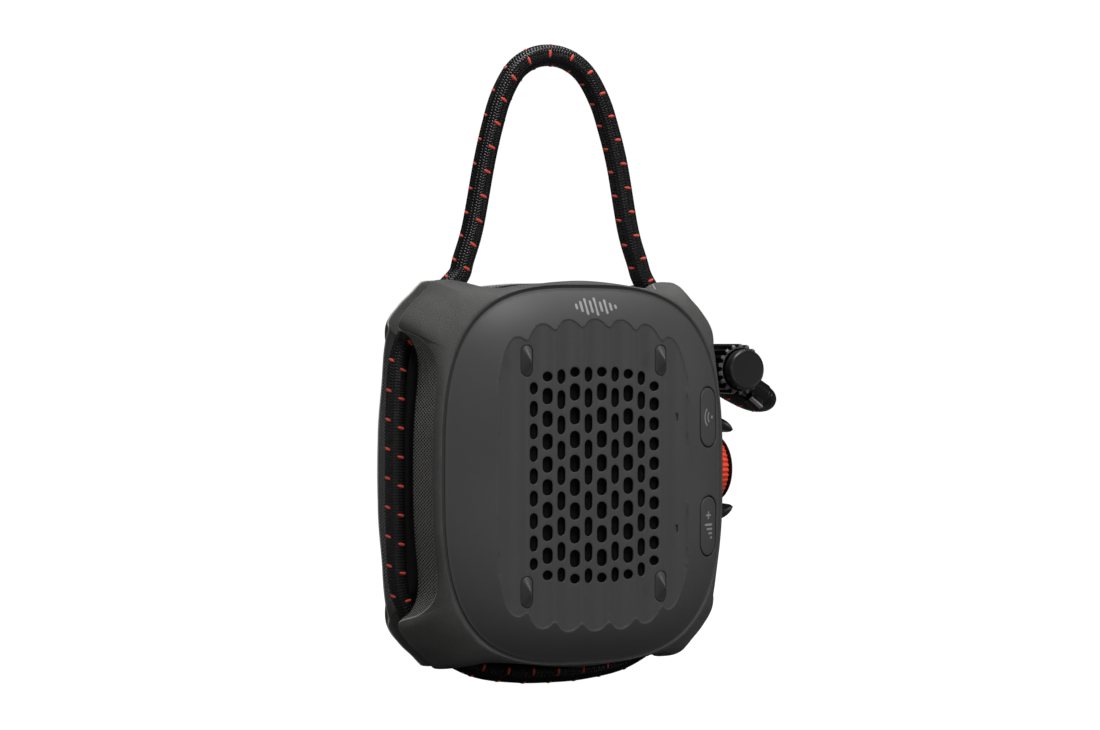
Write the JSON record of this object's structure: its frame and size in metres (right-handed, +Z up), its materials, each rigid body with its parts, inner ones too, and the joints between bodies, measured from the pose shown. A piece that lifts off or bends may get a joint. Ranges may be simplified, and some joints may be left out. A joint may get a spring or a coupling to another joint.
{
  "type": "portable shower speaker with a bungee hanging loop",
  "caption": "Rounded square portable speaker with a slotted grille, a side volume dial, a cord lock and an elastic hanging loop.",
  "frame": {"origin": "inner top of the hanging loop, where it bears on a hook; the middle of the housing is 111.8 mm below it", "axes": "+Z up, -Y out of the grille, +X towards the side with the volume dial"},
  "size_m": [0.1228, 0.0497, 0.176],
  "materials": {
    "graphite": "satin",
    "frame_grey": "fine sand texture",
    "black_cord": "braided",
    "black": "satin",
    "red": "knurled",
    "mesh": "woven",
    "rubber": "matte",
    "paper": "matte",
    "copper": "enamelled wire",
    "steel": "plain",
    "green": "solder mask",
    "foil": "shrink wrap"
  },
  "bodies": {
    "housing": {"front_cover": "graphite", "front_shell": "frame_grey", "rear_shell": "frame_grey", "shell_gasket": "rubber", "grille_mesh": "mesh", "grille_stud_1": "graphite", "grille_stud_2": "graphite", "grille_stud_3": "graphite", "grille_stud_4": "graphite", "rear_cover": "graphite", "rear_foot_1": "rubber", "rear_foot_2": "rubber", "rear_foot_3": "rubber", "rear_foot_4": "rubber", "cover_screw_1": "steel", "cover_screw_2": "steel", "cover_screw_3": "steel", "cover_screw_4": "steel", "usb_socket": "steel", "dial_guard": "black", "lock_barrel": "black", "lock_plug": "black", "cord_end_clip": "black", "cord_run": "black_cord", "cord_right": "black_cord", "cord_tail": "black_cord", "driver_basket": "steel", "driver_magnet": "steel", "driver_surround": "rubber", "radiator_surround": "rubber", "radiator_frame": "black", "battery": "foil", "main_board": "green"},
    "loop": {"carry_loop": "black_cord"},
    "dial": {"volume_dial": "red", "dial_shaft": "steel"},
    "play_cap": {"dial_cap": "black"},
    "wireless": {"wireless_button": "graphite"},
    "boost": {"boost_button": "graphite"},
    "power": {"power_button": "graphite"},
    "port_flap": {"port_cover": "rubber"},
    "plunger": {"lock_plunger": "black"},
    "diaphragm": {"driver_cone": "paper", "voice_coil": "copper", "dust_cap": "paper"},
    "radiator": {"radiator_plate": "steel"}
  },
  "joints": [
    {"name": "loop_sway", "type": "hinge", "parent": "housing", "child": "loop", "pos_m": [0, 0, -0.0578], "axis": [1, 0, 0], "range_deg": [-40, 40], "stiffness_Nm_per_rad": 0.02},
    {"name": "dial_spin", "type": "hinge", "parent": "housing", "child": "dial", "pos_m": [0.0462, -0.002, -0.1118], "axis": [1, 0, 0], "continuous": true},
    {"name": "play_press", "type": "slide", "parent": "dial", "child": "play_cap", "axis": [-1, 0, 0], "range_m": [0, 0.0005], "stiffness_N_per_m": 800},
    {"name": "wireless_press", "type": "slide", "parent": "housing", "child": "wireless", "axis": [-0.4384, 0.8988, 0], "range_m": [0, 0.0005], "stiffness_N_per_m": 800},
    {"name": "boost_press", "type": "slide", "parent": "housing", "child": "boost", "axis": [-0.4384, 0.8988, 0], "range_m": [0, 0.0005], "stiffness_N_per_m": 800},
    {"name": "power_press", "type": "slide", "parent": "housing", "child": "power", "axis": [0, -1, 0], "range_m": [0, 0.0005], "stiffness_N_per_m": 800},
    {"name": "port_flap_hinge", "type": "hinge", "parent": "housing", "child": "port_flap", "pos_m": [0, 0.0193, -0.1473], "axis": [-1, 0, 0], "range_deg": [0, 110]},
    {"name": "plunger_press", "type": "slide", "parent": "housing", "child": "plunger", "axis": [0, 1, 0], "range_m": [0, 0.0025], "stiffness_N_per_m": 600, "springref_m": -0.002},
    {"name": "diaphragm_travel", "type": "slide", "parent": "housing", "child": "diaphragm", "axis": [0, 1, 0], "range_m": [-0.0007, 0.0007], "stiffness_N_per_m": 2000},
    {"name": "radiator_travel", "type": "slide", "parent": "housing", "child": "radiator", "axis": [0, 1, 0], "range_m": [-0.0007, 0.0007], "stiffness_N_per_m": 1500}
  ]
}
